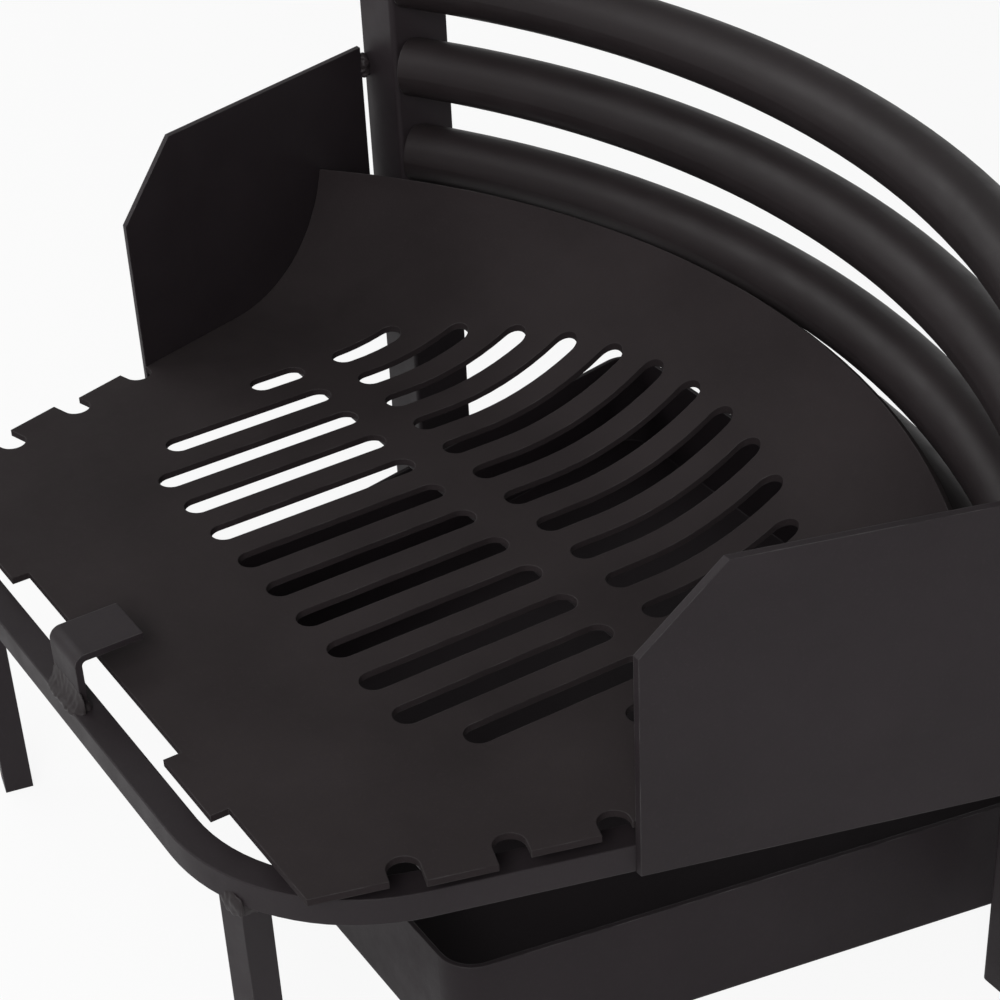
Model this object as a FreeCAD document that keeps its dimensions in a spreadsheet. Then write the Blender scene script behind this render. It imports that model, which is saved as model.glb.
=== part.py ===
import FreeCAD, Part
import math
import os
import re

import Sketcher
from FreeCAD import Vector

# Fire grate for an open hearth: a slotted, dished plate that lies loose in a welded frame of a bent
# square-bar rail, splayed cheeks, angle posts and bowed tubes, with an ash tray on the floor below.
# +Z is up from the floor, the bowed front faces -Y, and X = 0 is the plane of symmetry.

SIZES = [
    ("plate_height", 146.0, "top of the plate above the floor"),
    ("plate_sheet", 3.0, "thickness of the plate"),
    ("plate_back", 165.7, "rear edge of the plate"),
    ("side_rear", 3.0, "plate's side beyond the rail's outer face, behind the first notch"),
    ("side_middle", 6.5, "plate's side beyond the rail's outer face, between the first two notches"),
    ("side_front", 3.3, "plate's side beyond the rail's outer face, between the last two notches"),
    ("plate_play", 0.6, "gap between the plate and each cheek"),
    ("tab_reach", 7.3, "rear tabs beyond the plate's rear edge"),
    ("tab_inner", 71.0, "rear tab, side next to the middle"),
    ("tab_outer", 109.0, "rear tab, outer side"),
    ("curl_rise", 54.0, "front edge of the plate above its flat"),
    ("curl_start", -46.0, "where the flat ends, on the middle line"),
    ("curl_arc", 560.0, "radius of the line where the flat ends, seen from above"),
    ("front_edge", -152.5, "front edge of the plate on the middle line"),
    ("front_arc", 355.0, "radius of the front edge, seen from above"),
    ("slot_pitch", 25.0, "distance between slots"),
    ("slot_width", 12.25, "width of slots and side notches"),
    ("land_middle", -13.0, "middle of the land between the two rows of slots"),
    ("land_width", 16.0, "land between the two rows of slots"),
    ("rear_slot", 97.5, "length of the rear slots"),
    ("rear_slot_side", 82.0, "length of the last long rear slot on each side"),
    ("rear_slot_end", 27.0, "length of the short rear slot on each side"),
    ("front_slot_edge", -121.0, "front end of the middle front slot"),
    ("front_slot_arc", 208.0, "radius of the line of the front slots' ends"),
    ("notch_first", 133.5, "rearmost side notch"),
    ("notch_pitch", 36.0, "distance between side notches"),
    ("notch_depth", 14.7, "depth of the side notches"),
    ("rail_bar", 12.0, "square bar of the rail"),
    ("rail_back", 184.5, "rear face of the rail"),
    ("rail_bend", 79.0, "bend radius of the rail's middle line"),
    ("rail_edge", 0.5, "rounding of the rail's edges"),
    ("back_half", 157.8, "half width over the rail's arms, carried back to the rear face"),
    ("splay", 17.0, "angle of arms and cheeks to the middle plane, in degrees"),
    ("bearer_bar", 8.0, "square bar of the bearers"),
    ("bearer_front_place", -14.0, "middle of the front bearer"),
    ("bearer_rear_place", 117.0, "middle of the rear bearer"),
    ("leg_bar", 12.5, "square bar of the rear legs"),
    ("leg_turn", 24.0, "place of a rear leg round the rail's corner, in degrees"),
    ("leg_twist", 12.0, "turn of a rear leg about its own axis, in degrees"),
    ("strap_width", 24.0, "width of the strap"),
    ("strap_sheet", 3.0, "thickness of the strap"),
    ("strap_clear", 10.0, "gap between plate and strap"),
    ("strap_inset", 4.0, "rail's rear face to the strap's rear face"),
    ("strap_reach", 29.0, "length of the strap's top from its rear face"),
    ("strap_bend", 2.0, "inside radius of the strap's bend"),
    ("cheek_sheet", 3.0, "thickness of the cheeks"),
    ("cheek_back", 53.0, "rear edge of the cheeks"),
    ("cheek_top", 251.0, "top of the cheeks above the floor"),
    ("cheek_gap", 3.8, "gap between cheek and post"),
    ("chamfer_run", 30.0, "cut corner of the cheeks, along the top"),
    ("chamfer_rise", 33.0, "cut corner of the cheeks, down the rear edge"),
    ("post_leg", 30.0, "width of the post's flanges"),
    ("post_sheet", 3.0, "thickness of the post's flanges"),
    ("post_round", 2.5, "rounding of the post's heel"),
    ("post_half", 217.5, "middle plane to the inner face of a post"),
    ("post_face", -102.0, "rear face of the posts"),
    ("post_top", 309.0, "top of the posts above the floor"),
    ("tube_size", 28.2, "outside diameter of the tubes"),
    ("tube_wall", 2.6, "wall of the tubes"),
    ("tube_front", -171.0, "axis of the tubes on the middle line"),
    ("tube_arc", 425.0, "radius of the bow, on the axis"),
    ("tube_top", 291.5, "axis of the top tube above the floor"),
    ("tube_pitch", 44.6, "distance from tube to tube"),
    ("tray_height", 54.5, "height of the ash tray"),
    ("tray_sheet", 2.0, "thickness of the ash tray"),
    ("tray_back", 98.5, "rear wall of the ash tray"),
    ("tray_front", -232.0, "front wall of the ash tray"),
    ("tray_half", 143.6, "half width of the ash tray at its rear wall"),
    ("tray_splay", 11.2, "angle of the ash tray's sides to the middle plane, in degrees"),
    ("tray_corner", 16.0, "rounding of the ash tray's upright corners"),
    ("tray_foot", 2.5, "rounding of the ash tray's lower edge"),
    ("weld_leg", 3.2, "leg length of the weld fillets"),
    ("weld_length", 12.0, "length of the welds between cheek and post"),
    ("weld_width", 5.0, "width of the welds between cheek and post"),
    ("weld_drop", 4.0, "cheek's top to the weld at the post"),
]
SLOT_COLUMNS = range(-6, 7)
SIDE_NOTCHES = 3
SECTIONS = (-2, -1, 0, 1, 2)
LEFT, RIGHT = -1, 1
BEYOND = 20.0

doc = FreeCAD.newDocument("fire_grate")
sheet = doc.addObject("Spreadsheet::Sheet", "Sizes")
for row, (alias, size, note) in enumerate(SIZES, start=1):
    sheet.set("A%d" % row, note)
    sheet.set("B%d" % row, str(size))
    sheet.setAlias("B%d" % row, alias)
doc.recompute()
ALIASES = {alias for alias, size, note in SIZES}

# Heights and widths that several pieces share, as formulas of the sheet's sizes
PLATE_UNDER = "(plate_height - plate_sheet)"
RAIL_TOP = "(plate_height - plate_sheet - bearer_bar)"
RAIL_UNDER = "(plate_height - plate_sheet - bearer_bar - rail_bar)"
STRAP_TOP = "(plate_height + strap_clear + strap_sheet)"
STRAP_BACK = "(rail_back - strap_inset)"
CURL_TOP = "(plate_height + curl_rise)"
CHEEK_FRONT = "(post_face + cheek_gap)"


def half_width(depth, outward="0"):
    """Half width of the rail's outer faces, which are the cheeks' inner faces, at one depth."""
    return "(back_half + (rail_back - (%s)) * tan(splay) + (%s))" % (depth, outward)


def arched(middle, radius, across):
    """Depth of an arc that is furthest forward on the middle line."""
    return "(%s + %s - sqrt(%s^2 - (%s)^2))" % (middle, radius, radius, across)


def bind(formula):
    """Expression for a formula written with the sheet's aliases."""
    return re.sub(r"[a-z_]+", lambda m: "Sizes." + m[0] if m[0] in ALIASES else m[0], formula)


def number(formula):
    result = sheet.evalExpression(bind(formula))
    return float(getattr(result, "Value", result))


def new_body(label):
    body = doc.addObject("PartDesign::Body", label)
    body.Label = label
    return body


def new_sketch(body, role, level="0"):
    """Sketch on one of the body's own base planes, raised to a level along its normal."""
    sketch = body.newObject("Sketcher::SketchObject", body.Label + "_sketch")
    plane = next(feature for feature in body.Origin.OriginFeatures if feature.Role == role)
    sketch.AttachmentSupport = [(plane, "")]
    sketch.MapMode = "FlatFace"
    sketch.setExpression("AttachmentOffset.Base.z", bind(level))
    return sketch


def joined(geometry, point, other, other_point, kind="Coincident"):
    return Sketcher.Constraint(kind, geometry, point, other, other_point), None


def placed(geometry, point, across, up):
    """Distances of one point from the sketch's origin; None leaves a direction free."""
    return [(Sketcher.Constraint(kind, -1, 1, geometry, point, number(formula)), formula)
            for kind, formula in (("DistanceX", across), ("DistanceY", up)) if formula is not None]


def sized(geometry, radius):
    return Sketcher.Constraint("Radius", geometry, number(radius)), radius


def tie(sketch, ties):
    """Add constraints to a sketch, each with the formula of its size if it has one."""
    indices = sketch.addConstraint([constraint for constraint, formula in ties])
    for index, (constraint, formula) in zip(indices, ties):
        if formula is not None:
            sketch.setExpression("Constraints[%d]" % index, bind(formula))


def add_outline(sketch, corners):
    """Closed outline of straight lines through corners given as pairs of formulas."""
    points = [Vector(number(across), number(up), 0) for across, up in corners]
    lines = sketch.addGeometry([Part.LineSegment(point, following)
                                for point, following in zip(points, points[1:] + points[:1])])
    ties = [joined(line, 2, following, 1) for line, following in zip(lines, lines[1:] + lines[:1])]
    for line, (across, up) in zip(lines, corners):
        ties += placed(line, 1, across, up)
    tie(sketch, ties)


def arc(centre, start, end):
    """Counterclockwise arc between two points of a sketch."""
    angles = [math.atan2(p.y - centre.y, p.x - centre.x) for p in (start, end)]
    circle = Part.Circle(centre, Vector(0, 0, 1), (start - centre).Length)
    return Part.ArcOfCircle(circle, angles[0], angles[1])


def add_slot(sketch, first_end, second_end, radius):
    """Round-ended slot between the middles of its two ends."""
    a, b = (Vector(number(across), number(up), 0) for across, up in (first_end, second_end))
    along = (b - a).normalize()
    side = Vector(-along.y, along.x, 0) * number(radius)
    near, right, far, left = sketch.addGeometry([
        arc(a, a + side, a - side), Part.LineSegment(a - side, b - side),
        arc(b, b - side, b + side), Part.LineSegment(b + side, a + side)])
    ties = [joined(piece, 2, following, 1, "Tangent")
            for piece, following in ((near, right), (right, far), (far, left), (left, near))]
    ties += placed(near, 3, *first_end) + placed(far, 3, *second_end)
    tie(sketch, ties + [sized(near, radius), (Sketcher.Constraint("Equal", near, far), None)])


def pad(body, sketch, length, midplane=False):
    feature = body.newObject("PartDesign::Pad", body.Label + "_pad")
    feature.Profile = sketch
    feature.setExpression("Length", bind(length))
    feature.Midplane = midplane
    doc.recompute()
    return feature


def cut_down(body, sketch):
    """Cut a sketch that lies above the body down through all of it."""
    before = body.Shape.Volume
    feature = body.newObject("PartDesign::Pocket", body.Label + "_cut")
    feature.Profile = sketch
    feature.Type = "ThroughAll"
    doc.recompute()
    if body.Shape.Volume >= before:
        raise RuntimeError("%s cuts nothing" % feature.Name)
    return feature


def fillet(body, radius, wanted):
    """Round the edges of a body that pass a test."""
    base = body.Tip
    names = ["Edge%d" % n for n, edge in enumerate(base.Shape.Edges, start=1) if wanted(edge)]
    feature = body.newObject("PartDesign::Fillet", body.Label + "_fillet")
    feature.Base = (base, names)
    feature.setExpression("Radius", bind(radius))
    doc.recompute()
    return feature


def new_box(label, length, width, height, corner):
    box = doc.addObject("Part::Box", label)
    box.Label = label
    for name, formula in zip(("Length", "Width", "Height"), (length, width, height)):
        box.setExpression(name, bind(formula))
    for axis, formula in zip("xyz", corner):
        box.setExpression("Placement.Base." + axis, bind(formula))
    return box


def is_upright(edge):
    low, high = edge.BoundBox.ZMin, edge.BoundBox.ZMax
    return edge.BoundBox.XLength + edge.BoundBox.YLength < 1e-6 and high > low


def mirrored(corners):
    """Right-hand corners of an outline, followed by the same corners on the left."""
    return corners + [("-(%s)" % across, depth) for across, depth in reversed(corners)]


# Grate plate: flat at the back, dished up to an arched front edge. Five sections across the plate
# each hold the flat and the arc of the curl, and the sheet is lofted through them.

def plate_section(body, station):
    across = "%s * (post_half + post_leg) / %s" % (station, SECTIONS[-1])
    start = arched("curl_start", "curl_arc", across)
    edge = arched("front_edge", "front_arc", across)
    radius = "(((%s - %s)^2 + curl_rise^2) / (2 * curl_rise))" % (start, edge)
    grown = "((%s + plate_sheet) / %s)" % (radius, radius)
    tip_depth = "(%s + %s * (%s - %s))" % (start, grown, edge, start)
    tip_height = "(plate_height + %s + %s * (curl_rise - %s))" % (radius, grown, radius)
    rear = "(plate_back + tab_reach + %s)" % BEYOND
    corners = [(rear, "plate_height"), (rear, PLATE_UNDER), (start, PLATE_UNDER),
               (tip_depth, tip_height), (edge, CURL_TOP), (start, "plate_height")]
    sketch = new_sketch(body, "YZ_Plane", across)
    points = [Vector(number(depth), number(height), 0) for depth, height in corners]
    centre = Vector(number(start), number("plate_height + " + radius), 0)
    back, under, outside, tip, inside, top = sketch.addGeometry([
        Part.LineSegment(points[0], points[1]), Part.LineSegment(points[1], points[2]),
        arc(centre, points[3], points[2]), Part.LineSegment(points[3], points[4]),
        arc(centre, points[4], points[5]), Part.LineSegment(points[5], points[0])])
    starts = [(back, 1), (under, 1), (outside, 2), (tip, 1), (inside, 1), (top, 1)]
    ends = [(top, 2), (back, 2), (under, 2), (outside, 1), (tip, 2), (inside, 2)]
    ties = [joined(*begin, *end) for begin, end in zip(starts, ends)]
    for (geometry, point), (depth, height) in zip(starts, corners):
        ties += placed(geometry, point, depth, height)
    tie(sketch, ties + placed(outside, 3, start, None) + placed(inside, 3, start, None))
    return sketch


def plate_outline(body):
    """Ring-shaped cut that leaves the plate's outline: rear tabs, splayed sides, cheek steps."""
    notches = ["notch_first - %d * notch_pitch" % n for n in range(SIDE_NOTCHES)]
    sides = ("side_rear", "side_middle", "side_front", "-plate_play")
    ahead = "front_edge - plate_sheet - %s" % BEYOND
    tab = "plate_back + tab_reach"
    half = [
        ("tab_inner", "plate_back"),
        ("tab_inner", tab),
        ("tab_outer", tab),
        ("tab_outer", "plate_back"),
        (half_width("plate_back", sides[0]), "plate_back"),
    ]
    for notch, behind, before in zip(notches, sides, sides[1:]):
        half += [(half_width(notch, behind), notch), (half_width(notch, before), notch)]
    half.append((half_width(ahead, sides[-1]), ahead))
    frame = [("2 * post_half", "2 * rail_back"), ("2 * post_half", "-2 * rail_back")]
    sketch = new_sketch(body, "XY_Plane", CURL_TOP + " + plate_sheet")
    add_outline(sketch, mirrored(frame))
    add_outline(sketch, mirrored(half))
    return sketch


def plate_slots(body):
    """Two rows of slots, whose lengths follow the plate's outline."""
    sketch = new_sketch(body, "XY_Plane", CURL_TOP + " + plate_sheet")
    rear_lengths = {5: "rear_slot_side", 6: "rear_slot_end"}
    end_round = "slot_width / 2"
    for column in SLOT_COLUMNS:
        across = "%d * slot_pitch" % column
        near = "land_middle + land_width / 2"
        length = rear_lengths.get(abs(column), "rear_slot")
        add_slot(sketch, (across, "%s + %s" % (near, end_round)),
                 (across, "%s + %s - %s" % (near, length, end_round)), end_round)
        far = arched("front_slot_edge", "front_slot_arc", across)
        add_slot(sketch, (across, "%s + %s" % (far, end_round)),
                 (across, "land_middle - land_width / 2 - " + end_round), end_round)
    return sketch


def plate_notches(body):
    """Open-ended notches square to the splayed side edges."""
    sketch = new_sketch(body, "XY_Plane", CURL_TOP + " + plate_sheet")
    end_round = "slot_width / 2"
    for side in (LEFT, RIGHT):
        for n in range(SIDE_NOTCHES):
            depth = "notch_first - %d * notch_pitch" % n
            edge = half_width(depth, "side_middle")
            inside = "(notch_depth - slot_width / 2)"
            ends = [("%d * (%s + %s * cos(splay))" % (side, edge, reach),
                     "%s + %s * sin(splay)" % (depth, reach))
                    for reach in ("-1 * " + inside, "2 * slot_width")]
            add_slot(sketch, ends[0], ends[1], end_round)
    return sketch


def make_grate_plate():
    body = new_body("grate_plate")
    sections = [plate_section(body, station) for station in SECTIONS]
    doc.recompute()
    loft = body.newObject("PartDesign::AdditiveLoft", "grate_plate_loft")
    loft.Profile = sections[0]
    loft.Sections = [(section, [""]) for section in sections[1:]]
    loft.Ruled = False
    doc.recompute()
    cut_down(body, plate_outline(body))
    cut_down(body, plate_slots(body))
    cut_down(body, plate_notches(body))
    return body


# Base rail: square bar bent to a U, its arms splayed and cut off against the posts

def make_base_rail():
    body = new_body("base_rail")
    sketch = new_sketch(body, "XY_Plane", RAIL_UNDER)
    front_inside = half_width("rail_back - rail_bar", "-rail_bar / cos(splay)")
    add_outline(sketch, mirrored([
        (half_width("post_face"), "post_face"),
        (half_width("rail_back"), "rail_back"),
    ])[:4] + mirrored([
        (half_width("post_face", "-rail_bar / cos(splay)"), "post_face"),
        (front_inside, "rail_back - rail_bar"),
    ])[::-1])
    pad(body, sketch, "rail_bar")
    rear = number("rail_back")
    inner = number("rail_back - rail_bar")
    fillet(body, "rail_bend + rail_bar / 2",
           lambda e: is_upright(e) and abs(e.CenterOfMass.y - rear) < 1e-6)
    fillet(body, "rail_bend - rail_bar / 2",
           lambda e: is_upright(e) and abs(e.CenterOfMass.y - inner) < 1e-6)
    ends = number("post_face")
    fillet(body, "rail_edge",
           lambda e: e.BoundBox.ZLength < 1e-6 and e.CenterOfMass.y > ends + 1)
    return body


# Cheeks: upright plates on the outside of the rail's arms, with a cut rear top corner

def make_cheek(label, side):
    body = new_body(label)
    plan = new_sketch(body, "XY_Plane", RAIL_UNDER)
    thick = "cheek_sheet / cos(splay)"
    add_outline(plan, [("%d * %s" % (side, half_width(depth, out)), depth) for depth, out in (
        ("cheek_back", "0"), ("cheek_back", thick), (CHEEK_FRONT, thick), (CHEEK_FRONT, "0"))])
    pad(body, plan, "cheek_top - " + RAIL_UNDER)
    corner = new_sketch(body, "YZ_Plane")
    add_outline(corner, [
        ("cheek_back - chamfer_run", "cheek_top"),
        ("cheek_back", "cheek_top - chamfer_rise"),
        ("cheek_back + %s" % BEYOND, "cheek_top - chamfer_rise"),
        ("cheek_back + %s" % BEYOND, "cheek_top + %s" % BEYOND),
        ("cheek_back - chamfer_run", "cheek_top + %s" % BEYOND),
    ])
    before = body.Shape.Volume
    cut = body.newObject("PartDesign::Pocket", label + "_cut")
    cut.Profile = corner
    cut.Type = "ThroughAll"
    cut.Reversed = side == RIGHT
    doc.recompute()
    if body.Shape.Volume >= before:
        raise RuntimeError("the cheek's corner is not cut")
    return body


# Posts: steel angles from the floor to the top tube, heel towards the middle of the back

def make_post(label, side):
    body = new_body(label)
    sketch = new_sketch(body, "XY_Plane")
    inner, outer = "%d * post_half" % side, "%d * (post_half + post_leg)" % side
    web = "%d * (post_half + post_sheet)" % side
    add_outline(sketch, [
        (inner, "post_face"), (outer, "post_face"), (outer, "post_face - post_sheet"),
        (web, "post_face - post_sheet"), (web, "post_face - post_leg"), (inner, "post_face - post_leg"),
    ])
    pad(body, sketch, "post_top")
    heel = Vector(number(inner), number("post_face"), number("post_top / 2"))
    fillet(body, "post_round", lambda e: is_upright(e) and (e.CenterOfMass - heel).Length < 1e-6)
    return body


# Bow tubes: arcs from post to post, their ends trimmed to the posts' inner faces

def make_bow_tube(label, level):
    body = new_body(label)
    height = "(tube_top - %d * tube_pitch)" % level
    sketch = new_sketch(body, "YZ_Plane")
    middle = Vector(number("tube_front"), number(height), 0)
    for radius in ("tube_size / 2", "tube_size / 2 - tube_wall"):
        circle = sketch.addGeometry(Part.Circle(middle, Vector(0, 0, 1), number(radius)))
        tie(sketch, placed(circle, 3, "tube_front", height) + [sized(circle, radius)])
    pivot = "tube_front + tube_arc"
    foot = Vector(number(pivot), number(height), 0)
    axis = sketch.addGeometry(Part.LineSegment(foot, foot + Vector(0, BEYOND, 0)), True)
    tie(sketch, placed(axis, 1, pivot, height) + placed(axis, 2, pivot, "%s + %s" % (height, BEYOND)))
    doc.recompute()
    bow = body.newObject("PartDesign::Revolution", label + "_bow")
    bow.Profile = sketch
    bow.ReferenceAxis = (sketch, ["Axis0"])
    bow.Midplane = True
    bow.setExpression("Angle", bind("2 * asin(post_half / tube_arc)"))
    doc.recompute()
    ends = new_sketch(body, "XY_Plane", height + " + tube_size")
    for side in (LEFT, RIGHT):
        add_outline(ends, [
            ("%d * %s" % (side, across), depth)
            for across, depth in (("post_half", "post_face + tube_size"),
                                  ("(post_half + tube_size)", "post_face + tube_size"),
                                  ("(post_half + tube_size)", "post_face - 2 * tube_size"),
                                  ("post_half", "post_face - 2 * tube_size"))])
    cut_down(body, ends)
    return body


# Rear strap: flat bar that stands on the rail and reaches over the plate's rear edge

def make_rear_strap():
    body = new_body("rear_strap")
    sketch = new_sketch(body, "YZ_Plane")
    inside = STRAP_BACK + " - strap_sheet"
    tip = STRAP_BACK + " - strap_reach"
    add_outline(sketch, [
        (STRAP_BACK, RAIL_TOP), (STRAP_BACK, STRAP_TOP), (tip, STRAP_TOP), (tip, STRAP_TOP + " - strap_sheet"),
        (inside, STRAP_TOP + " - strap_sheet"), (inside, RAIL_TOP),
    ])
    pad(body, sketch, "strap_width", midplane=True)
    for depth, height, radius in ((STRAP_BACK, STRAP_TOP, "strap_bend + strap_sheet"),
                                  (inside, STRAP_TOP + " - strap_sheet", "strap_bend")):
        bend = Vector(0, number(depth), number(height))
        fillet(body, radius, lambda e: (e.CenterOfMass - bend).Length < 1e-6)
    return body


# Rear legs and bearers: plain square bar

def leg_place(side):
    """Middle of a rear leg, under the middle line of the rail's corner."""
    turn = "(90 - splay)"
    corner = half_width("rail_back - rail_bar / 2", "-rail_bar / 2 / cos(splay)")
    across = "(%s - rail_bend * tan(%s / 2) + rail_bend * sin(leg_turn))" % (corner, turn)
    depth = "(rail_back - rail_bar / 2 - rail_bend * (1 - cos(leg_turn)))"
    return "%d * %s" % (side, across), depth


def set_at_leg(item, side, turn):
    """Move a piece that is modelled about the Z axis to the axis of a rear leg and turn it there."""
    for axis, formula in zip("xy", leg_place(side)):
        item.setExpression("Placement.Base." + axis, bind(formula))
    item.setExpression("Placement.Rotation.Angle", bind(turn))


def make_rear_leg(label, side):
    leg = doc.addObject("Part::Prism", label)
    leg.Label = label
    leg.Polygon = 4
    leg.setExpression("Circumradius", bind("leg_bar / sqrt(2)"))
    leg.setExpression("Height", bind(RAIL_UNDER))
    set_at_leg(leg, side, "45 - %d * leg_twist" % side)
    return leg


def make_bearer(label, depth):
    reach = half_width(depth, "-rail_bar / 2 / cos(splay)")
    return new_box(label, "2 * " + reach, "bearer_bar", "bearer_bar",
                   ("-1 * " + reach, "%s - bearer_bar / 2" % depth, RAIL_TOP))


# Ash tray: open pan, wider at the front, with rounded corners

def make_ash_tray():
    body = new_body("ash_tray")
    sketch = new_sketch(body, "XY_Plane")
    wide = "tray_half + (tray_back - tray_front) * tan(tray_splay)"
    add_outline(sketch, mirrored([("tray_half", "tray_back"), (wide, "tray_front")]))
    pad(body, sketch, "tray_height")
    fillet(body, "tray_corner", is_upright)
    fillet(body, "tray_foot", lambda e: e.BoundBox.ZMax < 1e-6)
    top = number("tray_height")
    face = next("Face%d" % n for n, face in enumerate(body.Shape.Faces, start=1)
                if face.BoundBox.ZMin > top - 1e-6)
    pan = body.Tip
    shell = body.newObject("PartDesign::Thickness", "ash_tray_shell")
    shell.Base = (pan, [face])
    shell.setExpression("Value", bind("tray_sheet"))
    shell.Reversed = True
    doc.recompute()
    return body


# Welds: hollow fillets at the strap's foot and the legs' heads, and beads that bridge the gap
# between cheek and post

def make_fillet_weld(label, role, level, corner, across, up, length, midplane=False):
    """Hollow fillet in the corner of an upright and a level face; across and up are its directions."""
    body = new_body(label)
    sketch = new_sketch(body, role, level)
    x, z = corner
    foot = ("%s + %d * weld_leg" % (x, across), z)
    head = (x, "%s + %d * weld_leg" % (z, up))
    points = [Vector(number(a), number(b), 0) for a, b in ((x, z), foot, head)]
    centre = points[1] + points[2] - points[0]
    foot_end, head_end = (2, 1) if across * up > 0 else (1, 2)
    ordered = (points[2], points[1]) if foot_end == 2 else (points[1], points[2])
    level_line, hollow, upright_line = sketch.addGeometry([
        Part.LineSegment(points[0], points[1]), arc(centre, *ordered),
        Part.LineSegment(points[2], points[0])])
    ties = [joined(level_line, 2, hollow, foot_end), joined(hollow, head_end, upright_line, 1),
            joined(upright_line, 2, level_line, 1)]
    ties += placed(level_line, 1, x, z) + placed(level_line, 2, *foot) + placed(upright_line, 1, *head)
    tie(sketch, ties + placed(hollow, 3, foot[0], None))
    pad(body, sketch, length, midplane)
    return body


def make_strap_side_weld(label, side):
    return make_fillet_weld(label, "XZ_Plane", "-" + STRAP_BACK, ("%d * strap_width / 2" % side, RAIL_TOP),
                            side, 1, "strap_sheet")


def make_strap_weld(label):
    return make_fillet_weld(label, "YZ_Plane", "0", (STRAP_BACK, RAIL_TOP), 1, 1, "strap_width", True)


def make_leg_weld(label, side):
    body = make_fillet_weld(label, "XZ_Plane", "0", ("%d * leg_bar / 2" % -side, RAIL_UNDER),
                            -side, -1, "leg_bar / 2", True)
    set_at_leg(body, side, "%d * leg_twist" % -side)
    return body


def make_cheek_weld(label, side):
    body = new_body(label)
    sketch = new_sketch(body, "XZ_Plane", "-(%s)" % CHEEK_FRONT)
    across = "%d * (%s)" % (side, half_width(CHEEK_FRONT, "cheek_sheet / 2"))
    top = "(cheek_top - weld_drop - weld_width / 2)"
    add_slot(sketch, (across, top), (across, top + " - weld_length + weld_width"), "weld_width / 2")
    pad(body, sketch, "cheek_gap")
    return body


SUBPARTS = [
    make_grate_plate(),
    make_base_rail(),
    make_cheek("cheek_left", LEFT),
    make_cheek("cheek_right", RIGHT),
    make_post("post_left", LEFT),
    make_post("post_right", RIGHT),
    make_bow_tube("bow_tube_top", 0),
    make_bow_tube("bow_tube_upper", 1),
    make_bow_tube("bow_tube_lower", 2),
    make_bow_tube("bow_tube_bottom", 3),
    make_rear_strap(),
    make_rear_leg("leg_rear_left", LEFT),
    make_rear_leg("leg_rear_right", RIGHT),
    make_bearer("bearer_front", "bearer_front_place"),
    make_bearer("bearer_rear", "bearer_rear_place"),
    make_ash_tray(),
    make_strap_weld("strap_weld_rear"),
    make_strap_side_weld("strap_weld_left", LEFT),
    make_strap_side_weld("strap_weld_right", RIGHT),
    make_leg_weld("leg_weld_left", LEFT),
    make_leg_weld("leg_weld_right", RIGHT),
    make_cheek_weld("cheek_weld_left", LEFT),
    make_cheek_weld("cheek_weld_right", RIGHT),
]
doc.recompute()

for item in doc.Objects:
    if {"Invalid", "Error"} & set(item.State):
        raise RuntimeError("%s failed" % item.Name)
os.makedirs("parts", exist_ok=True)
for subpart in SUBPARTS:
    shape = subpart.Shape
    if shape.isNull() or not shape.isValid() or len(shape.Solids) != 1:
        raise RuntimeError("%s is not one valid solid" % subpart.Label)
for subpart in SUBPARTS:
    subpart.Shape.exportStep("parts/%s.step" % subpart.Label)
    print("%-18s %10.0f mm3" % (subpart.Label, subpart.Shape.Volume))
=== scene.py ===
import math

import bmesh
import bpy
from mathutils import Matrix, Vector, noise


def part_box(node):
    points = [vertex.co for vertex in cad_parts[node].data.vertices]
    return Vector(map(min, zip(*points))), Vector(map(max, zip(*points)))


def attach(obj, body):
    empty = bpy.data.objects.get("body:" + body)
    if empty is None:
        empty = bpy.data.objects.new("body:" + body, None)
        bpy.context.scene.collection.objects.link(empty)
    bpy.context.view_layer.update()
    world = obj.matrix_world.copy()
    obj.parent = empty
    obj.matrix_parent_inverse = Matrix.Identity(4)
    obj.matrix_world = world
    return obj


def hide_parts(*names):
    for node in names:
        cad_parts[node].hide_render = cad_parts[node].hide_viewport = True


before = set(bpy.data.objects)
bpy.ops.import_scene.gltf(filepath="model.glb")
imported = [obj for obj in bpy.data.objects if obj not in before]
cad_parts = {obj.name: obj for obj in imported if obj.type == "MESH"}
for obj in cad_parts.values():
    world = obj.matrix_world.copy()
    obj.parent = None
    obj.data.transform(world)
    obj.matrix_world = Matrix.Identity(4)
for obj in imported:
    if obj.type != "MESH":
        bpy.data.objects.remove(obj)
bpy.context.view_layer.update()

MM = 0.001
scene = bpy.context.scene


class NodeTree:
    """A tree of shader nodes, with short calls for the nodes that are used often."""

    def __init__(self, tree):
        self.nodes, self.links = tree.nodes, tree.links

    def feed(self, socket, value):
        """Link another node's output to a socket, or set the socket's own value."""
        if isinstance(value, bpy.types.NodeSocket):
            self.links.new(value, socket)
        else:
            socket.default_value = value

    def add(self, kind, inputs=None, **settings):
        """Make a node; its inputs are given by name or by number."""
        made = self.nodes.new(kind)
        for key, value in settings.items():
            setattr(made, key, value)
        for key, value in (inputs or {}).items():
            self.feed(made.inputs[key], value)
        return made

    def cloud(self, place, scale, detail, roughness):
        made = self.add("ShaderNodeTexNoise", {"Vector": place, "Scale": scale, "Detail": detail,
                                               "Roughness": roughness})
        return made.outputs["Fac"]

    def remap(self, value, low, high, to_low, to_high):
        made = self.add("ShaderNodeMapRange", {"Value": value, "From Min": low, "From Max": high,
                                               "To Min": to_low, "To Max": to_high})
        return made.outputs["Result"]

    def math(self, operation, first, second):
        return self.add("ShaderNodeMath", {0: first, 1: second}, operation=operation).outputs[0]

    def mix(self, factor, first, second):
        made = self.add("ShaderNodeMix", {0: factor, 6: first, 7: second}, data_type="RGBA")
        return made.outputs[2]


# Paint: textures lie in object space, so that grain and wear keep their real size on every piece

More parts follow.
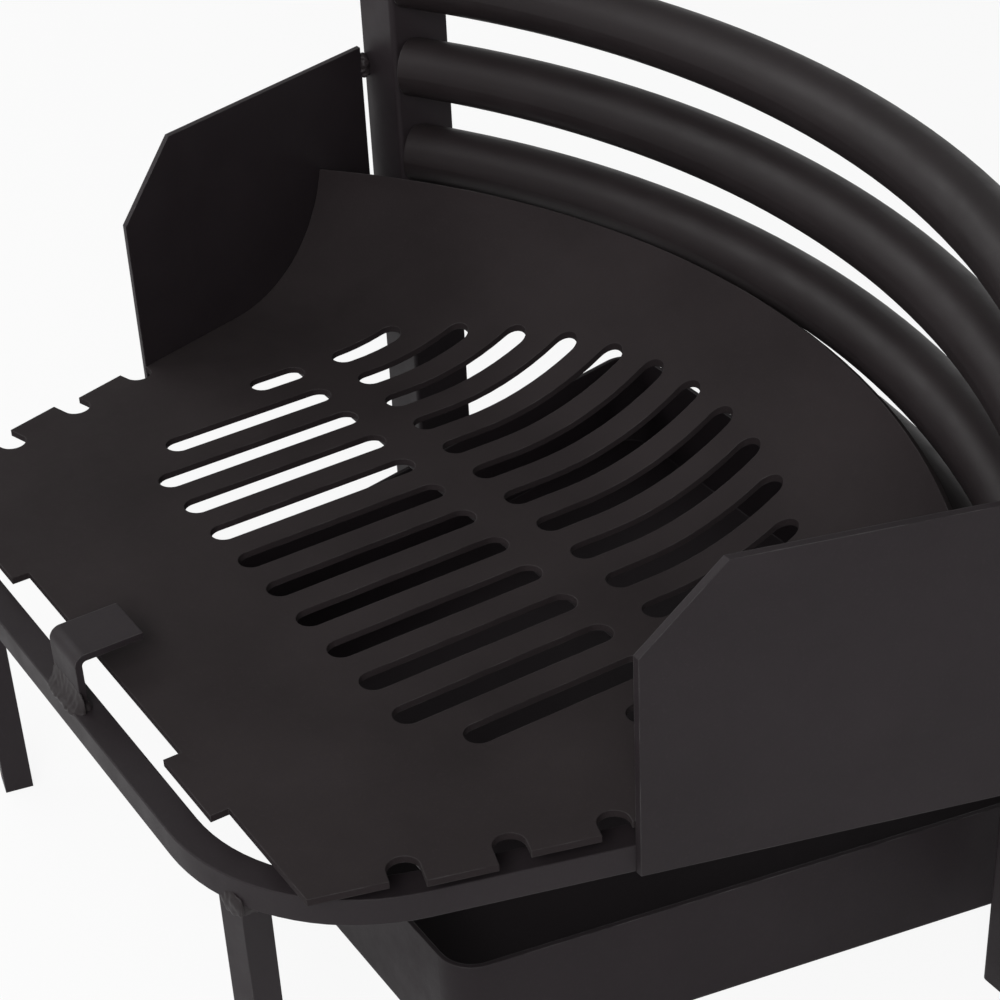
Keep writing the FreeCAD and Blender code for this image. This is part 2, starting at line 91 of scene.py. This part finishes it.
BLACK = (0.0188, 0.0146, 0.0156)
BLACK_COOL = (0.0186, 0.0145, 0.0165)
# The tubes take the same black, darkened: painted shade for their dark sides.
BLACK_SHADED_TUBE = tuple(0.85 * c for c in BLACK)
BLACK_WELD = (0.020, 0.016, 0.017)
# A pale tone laid on faces that look up: painted top light.
TOP_LIGHT_PALE = (0.11, 0.10, 0.098, 1.0)
# A light tone on edges: rubbed paint and a painted edge highlight.
RUBBED_AND_HIGHLIT = (0.105, 0.101, 0.101, 1.0)
MOTTLE = 0.15
SPECK_GAIN = 1.9
UNEVEN_GLOSS = 0.06
# The painted top light also makes the gloss rougher.
TOP_LIGHT_DULLS = 0.08
RUBBING_SMOOTHS = 0.12
EDGE_RADIUS = 0.7 * MM
GRAIN_HEIGHT = 0.12 * MM


def rubbed_and_highlit_edges(tree, rounded, normal, patches):
    """Share of rubbed paint and painted edge highlight: where a rounded normal leaves the true one,
    broken up by patches.
    """
    product = tree.add("ShaderNodeVectorMath", {0: rounded, 1: normal}, operation="DOT_PRODUCT")
    at_edge = tree.remap(product.outputs["Value"], 0.995, 0.80, 0.0, 1.0)
    return tree.math("MULTIPLY", at_edge, tree.remap(patches, 0.42, 0.62, 0.15, 1.0))


def painted_top_light(tree, normal, clouds):
    """Share of painted top light: on faces that look up, uneven like the clouds."""
    facing = tree.add("ShaderNodeSeparateXYZ", {0: normal})
    looks_up = tree.remap(facing.outputs["Z"], 0.3, 1.0, 0.0, 1.0)
    return tree.math("MULTIPLY", looks_up, tree.remap(clouds, 0.3, 0.75, 0.5, 0.85))


def paint(name, colour, top_light, rough, specular, grain=0.35, grain_size=1.1, edge=0.5):
    """Sprayed black paint: fine grain, cloudy tone and gloss, a pale painted top light on faces
    that look up, and edges lightened by rubbed paint and a painted edge highlight.
    """
    material = bpy.data.materials.new(name)
    material.use_nodes = True
    tree = NodeTree(material.node_tree)
    shader = tree.nodes["Principled BSDF"]

    def shade(gain):
        return tuple(gain * c for c in colour) + (1.0,)

    place = tree.add("ShaderNodeTexCoord").outputs["Object"]
    normal = tree.add("ShaderNodeNewGeometry").outputs["Normal"]
    rounded = tree.add("ShaderNodeBevel", {"Radius": EDGE_RADIUS}, samples=6).outputs["Normal"]
    clouds = tree.cloud(place, scale=14, detail=4, roughness=0.55)
    patches = tree.cloud(place, scale=55, detail=5, roughness=0.6)
    specks = tree.cloud(place, scale=900, detail=2, roughness=0.5)
    fine = tree.cloud(place, scale=1000 / grain_size, detail=3, roughness=0.55)
    peel = tree.cloud(place, scale=420, detail=2, roughness=0.45)
    # Edges lighten: rubbed paint and a painted edge highlight.
    worn_and_highlit = tree.math("MULTIPLY", rubbed_and_highlit_edges(tree, rounded, normal, patches), edge)
    top_lit = painted_top_light(tree, normal, clouds)

    tone = tree.mix(tree.remap(clouds, 0.3, 0.7, 0.0, 1.0), shade(1 - MOTTLE), shade(1 + MOTTLE))
    tone = tree.mix(tree.remap(specks, 0.56, 0.72, 0.0, 0.18), tone, shade(SPECK_GAIN))
    # Faces that look up are paled: painted top light.
    tone = tree.mix(tree.math("MULTIPLY", top_lit, top_light), tone, TOP_LIGHT_PALE)
    # Edges take the light tone: rubbed paint and a painted edge highlight.
    tone = tree.mix(worn_and_highlit, tone, RUBBED_AND_HIGHLIT)

    gloss = tree.remap(patches, 0.3, 0.7, rough - UNEVEN_GLOSS, rough + UNEVEN_GLOSS)
    gloss = tree.math("ADD", gloss, tree.math("MULTIPLY", top_lit, TOP_LIGHT_DULLS))
    gloss = tree.math("SUBTRACT", gloss, tree.math("MULTIPLY", worn_and_highlit, RUBBING_SMOOTHS))

    height = tree.math("ADD", tree.math("MULTIPLY", fine, 0.6), tree.math("MULTIPLY", peel, 0.4))
    bump = tree.add("ShaderNodeBump", {"Strength": grain, "Distance": GRAIN_HEIGHT,
                                       "Height": height, "Normal": rounded})

    tree.feed(shader.inputs["Base Color"], tone)
    tree.feed(shader.inputs["Roughness"], gloss)
    tree.feed(shader.inputs["Normal"], bump.outputs["Normal"])
    shader.inputs["Specular IOR Level"].default_value = specular
    shader.inputs["Metallic"].default_value = 0.0
    return material


finishes = {
    # The plate gets the most painted top light.
    "plate": paint("plate_paint", BLACK, top_light=0.13, rough=0.68, specular=0.08,
                   grain=0.45, grain_size=1.4),
    "frame": paint("frame_paint", BLACK_COOL, top_light=0.03, rough=0.50, specular=0.18, edge=0.65),
    # Tubes: the darkened black, which is painted shade.
    "tube": paint("tube_paint", BLACK_SHADED_TUBE, top_light=0.03, rough=0.42, specular=0.18, grain=0.3),
    # The tray's rim edges get more of the painted edge highlight.
    "tray": paint("tray_paint", BLACK_COOL, top_light=0.02, rough=0.52, specular=0.13, edge=0.8),
    "weld": paint("weld_paint", BLACK_WELD, top_light=0.03, rough=0.44, specular=0.18, edge=0.2),
}
finish_by_word = {"grate_plate": "plate", "bow_tube": "tube", "ash_tray": "tray", "weld": "weld"}
for name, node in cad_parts.items():
    kind = "frame"
    for word, finish in finish_by_word.items():
        if word in name:
            kind = finish
    node.data.materials.clear()
    node.data.materials.append(finishes[kind])
    node.modifiers.new("flat_faces", "WEIGHTED_NORMAL").keep_sharp = True


# Weld beads: uneven runs of weld metal, with lengths in millimetres

BEAD_SIDES = 28
FILLET_STEPS = 20
FILLET_HOLLOW = 1.5
EMBEDDED = 0.6
RINGS_PER_RIPPLE = 10
FEWEST_RINGS = 24
RIPPLE_BOW = 0.9
LUMP_SCALE = 0.45
SEAM_RUN = {"ripple": 4.3, "depth": 0.02, "lumps": 0.3}
LEG_HALF = 6.25
LEG_TWIST = math.radians(12)


def round_bead(width, height):
    """Section of a plain bead: points across and out from its middle line."""
    steps = [2 * math.pi * j / BEAD_SIDES for j in range(BEAD_SIDES)]
    return [(math.sin(a) * width / 2, math.cos(a) * height) for a in steps]


def hollow_fillet(rise, reach, drop):
    """Section of a hollow fillet: up one face by rise, out by reach, over the edge by drop."""
    inside = [(-drop, -EMBEDDED), (rise, -EMBEDDED)]
    steps = [j / FILLET_STEPS for j in range(FILLET_STEPS + 1)]
    curve = [(rise * (1 - t) ** FILLET_HOLLOW, reach * t ** FILLET_HOLLOW) for t in steps]
    over_edge = [(-drop * 0.5, reach + 0.5), (-drop, reach + 0.2)]
    return inside + curve + over_edge


def bead_mesh(name, start, end, out, section, ripple, depth, lumps, blunt):
    """Mesh of a bead from start to end that bulges towards out, with blunt ends."""
    start, end, out = Vector(start), Vector(end), Vector(out).normalized()
    length = (end - start).length
    along = (end - start) / length
    across = along.cross(out).normalized()
    rings = max(FEWEST_RINGS, int(length / ripple * RINGS_PER_RIPPLE))
    sides = len(section)
    widest = max(abs(a) for a, b in section)
    mesh = bmesh.new()
    loops = []
    for i in range(rings + 1):
        s = i / rings
        taper = math.sqrt(max(1e-4, 1 - abs(2 * s - 1) ** blunt))
        loop = []
        for a, b in section:
            wave = math.cos(2 * math.pi * (s * length + RIPPLE_BOW * (a / widest) ** 2) / ripple)
            offset = across * a + out * b
            point = start + along * (s * length) + offset * taper
            swell = 1 + depth * wave + lumps * noise.noise(point * LUMP_SCALE)
            loop.append(mesh.verts.new((point + offset * taper * (swell - 1)) * MM))
        loops.append(loop)
    for first, second in zip(loops, loops[1:]):
        for j in range(sides):
            k = (j + 1) % sides
            mesh.faces.new((first[j], first[k], second[k], second[j]))
    mesh.faces.new(loops[0][::-1])
    mesh.faces.new(loops[-1])
    bmesh.ops.recalc_face_normals(mesh, faces=mesh.faces)
    data = bpy.data.meshes.new(name)
    mesh.to_mesh(data)
    mesh.free()
    for face in data.polygons:
        face.use_smooth = True
    return data


def weld_bead(name, start, end, out, section, node=None,
              ripple=1.9, depth=0.03, lumps=0.16, blunt=3):
    """Bead on the frame; node is the plain fillet that it replaces."""
    data = bead_mesh(name, start, end, out, section, ripple, depth, lumps, blunt)
    data.materials.append(finishes["weld"])
    piece = bpy.data.objects.new(name, data)
    scene.collection.objects.link(piece)
    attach(piece, "frame")
    if node:
        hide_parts(node)


def corners(node):
    """Lower and upper corner of a CAD node's box."""
    low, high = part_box(node)
    return Vector(low) / MM, Vector(high) / MM


def leg_beads(side, sign):
    """Welds of a leg, which stands a little proud of the rail: inside, and over its outer seams."""
    low, high = corners("leg_rear_" + side)
    middle = (low + high) / 2
    seam = high.z
    turn = Matrix.Rotation(-sign * LEG_TWIST, 3, "Z")

    def at_leg(x, y, below):
        return turn @ Vector((x, y, 0)) + Vector((middle.x, middle.y, seam - below))

    inner = -sign * (LEG_HALF + 0.4)
    weld_bead("bead_leg_" + side, at_leg(inner, -4, 0.4), at_leg(inner, 4, 0.4),
              turn @ Vector((-sign, 0, 0)) + Vector((0, 0, -1)),
              round_bead(width=6.0, height=2.0), "leg_weld_" + side)
    rear = LEG_HALF - 0.8
    weld_bead("bead_leg_rear_" + side, at_leg(-sign * (LEG_HALF - 0.5), rear, 0.8),
              at_leg(sign * (LEG_HALF + 0.5), rear, 0.8), turn @ Vector((0, 1, 0)),
              round_bead(width=11, height=1.6), **SEAM_RUN)
    outer = sign * (LEG_HALF - 0.7)
    weld_bead("bead_leg_outer_" + side, at_leg(outer, LEG_HALF, 1.4),
              at_leg(outer, 1 - LEG_HALF, 1.4), turn @ Vector((sign, 0, 0)),
              round_bead(width=9, height=1.3), **SEAM_RUN)


low, high = corners("strap_weld_rear")
weld_bead("bead_strap_rear", (low.x - 4, low.y, low.z), (high.x + 3, low.y, low.z), (0, 1, 0),
          hollow_fillet(rise=8.5, reach=4.2, drop=2.6), "strap_weld_rear",
          ripple=3.4, depth=0.006, lumps=0.12, blunt=6)
for side, sign in (("left", -1), ("right", 1)):
    low, high = corners("cheek_weld_" + side)
    middle = (low + high) / 2
    weld_bead("bead_cheek_" + side, (middle.x, middle.y, low.z - 0.5),
              (middle.x, middle.y, high.z + 0.5), (sign, 0, 0),
              round_bead(width=5.6, height=3.2), "cheek_weld_" + side, ripple=2.4, lumps=0.3)
    low, high = corners("strap_weld_" + side)
    root_x = (low.x if sign > 0 else high.x) + sign * 0.3
    root_z = low.z + 0.3
    weld_bead("bead_strap_" + side, (root_x, low.y - 1.0, root_z), (root_x, high.y + 1.6, root_z),
              (sign, 0, 1), round_bead(width=5.5, height=1.9), "strap_weld_" + side)
    leg_beads(side, sign)


# Floor and world: seen as a white backdrop, while their own tones light the part

WHITE = (1, 1, 1, 1)
FLOOR_PALE = (0.85, 0.85, 0.85, 1)
FLOOR_HALF = 6
FLOOR_LEVEL = -0.4 * MM
FLOOR_SHARES = {"Is Camera Ray": 0.9, "Is Glossy Ray": 0.4, "Is Transmission Ray": 0.9}
WORLD_SHARES = {"Is Camera Ray": 1.0, "Is Glossy Ray": 1.0, "Is Transmission Ray": 1.0}
WORLD_STRENGTH = 0.7
BACKDROP_TOP = 0.12
CEILING_FROM = 0.42
CEILING_GREY = (0.28, 0.28, 0.28, 1)


def bright_in_view(tree, shader, output, shares, tone=WHITE):
    """Show a tone at full strength to the named rays in their shares, and the shader otherwise."""
    path = tree.add("ShaderNodeLightPath")
    seen = 0.0
    for ray, share in shares.items():
        seen = tree.math("MAXIMUM", seen, tree.math("MULTIPLY", path.outputs[ray], share))
    kind = "ShaderNodeBackground" if output == "World Output" else "ShaderNodeEmission"
    glow = tree.add(kind, {"Color": tone, "Strength": 1.0})
    blend = tree.add("ShaderNodeMixShader", {0: seen, 1: shader, 2: glow.outputs[0]})
    tree.feed(tree.nodes[output].inputs["Surface"], blend.outputs[0])


mesh = bmesh.new()
bmesh.ops.create_grid(mesh, x_segments=1, y_segments=1, size=FLOOR_HALF)
data = bpy.data.meshes.new("floor")
mesh.to_mesh(data)
mesh.free()
floor = bpy.data.objects.new("floor", data)
scene.collection.objects.link(floor)
floor.location.z = FLOOR_LEVEL
pale = bpy.data.materials.new("floor_pale")
pale.use_nodes = True
floor_shader = pale.node_tree.nodes["Principled BSDF"]
floor_shader.inputs["Base Color"].default_value = FLOOR_PALE
floor_shader.inputs["Roughness"].default_value = 0.9
floor_shader.inputs["Specular IOR Level"].default_value = 0.0
bright_in_view(NodeTree(pale.node_tree), floor_shader.outputs[0], "Material Output", FLOOR_SHARES)
data.materials.append(pale)

# The room is white up to the height of a backdrop and darker above it
world = bpy.data.worlds.new("studio")
scene.world = world
world.use_nodes = True
room = NodeTree(world.node_tree)
direction = room.add("ShaderNodeTexCoord")
split = room.add("ShaderNodeSeparateXYZ", {0: direction.outputs["Generated"]})
fade = room.add("ShaderNodeValToRGB", {0: split.outputs["Z"]})
backdrop, ceiling = fade.color_ramp.elements
backdrop.position, backdrop.color = BACKDROP_TOP, WHITE
ceiling.position, ceiling.color = CEILING_FROM, CEILING_GREY
sky = room.nodes["Background"]
sky.inputs["Strength"].default_value = WORLD_STRENGTH
room.feed(sky.inputs["Color"], fade.outputs["Color"])
bright_in_view(room, sky.outputs[0], "World Output", WORLD_SHARES, fade.outputs["Color"])


# Lamps

def softbox(name, place, aim, size, power):
    """Rectangular lamp at a place, turned to an aim, in metres and watts."""
    lamp = bpy.data.lights.new(name, "AREA")
    lamp.shape = "RECTANGLE"
    lamp.size, lamp.size_y = size
    lamp.energy = power
    holder = bpy.data.objects.new(name, lamp)
    scene.collection.objects.link(holder)
    holder.location = place
    holder.rotation_euler = (Vector(aim) - Vector(place)).to_track_quat("-Z", "Y").to_euler()


# The key stands on the camera's side; the window draws the highlights along the tubes
softbox("key", place=(-1.36, 1.22, 1.42), aim=(0, 0, 0.15), size=(1.0, 0.9), power=26)
softbox("fill", place=(-0.2, 1.5, 1.9), aim=(0, 0.05, 0.12), size=(1.2, 1.0), power=8)
softbox("window", place=(1.62, 0.85, 1.42), aim=(0, -0.05, 0.2), size=(2.3, 0.7), power=16)

# Camera at the photograph's view
camera = bpy.data.cameras.new("camera")
camera.sensor_width = 36
camera.lens = 83.74
camera.clip_start = 0.01
eye = bpy.data.objects.new("camera", camera)
scene.collection.objects.link(eye)
eye_place = Vector((-0.7031, 0.4042, 0.6803))
right = Vector((-0.53785, -0.84195, -0.04284))
up = Vector((0.44014, -0.32379, 0.83752))
back = Vector((-0.71902, 0.43161, 0.54472))
heading = Matrix((right, up, back)).transposed().to_4x4()
eye.matrix_world = Matrix.Translation(eye_place) @ heading
scene.camera = eye
scene.view_settings.view_transform = "Standard"
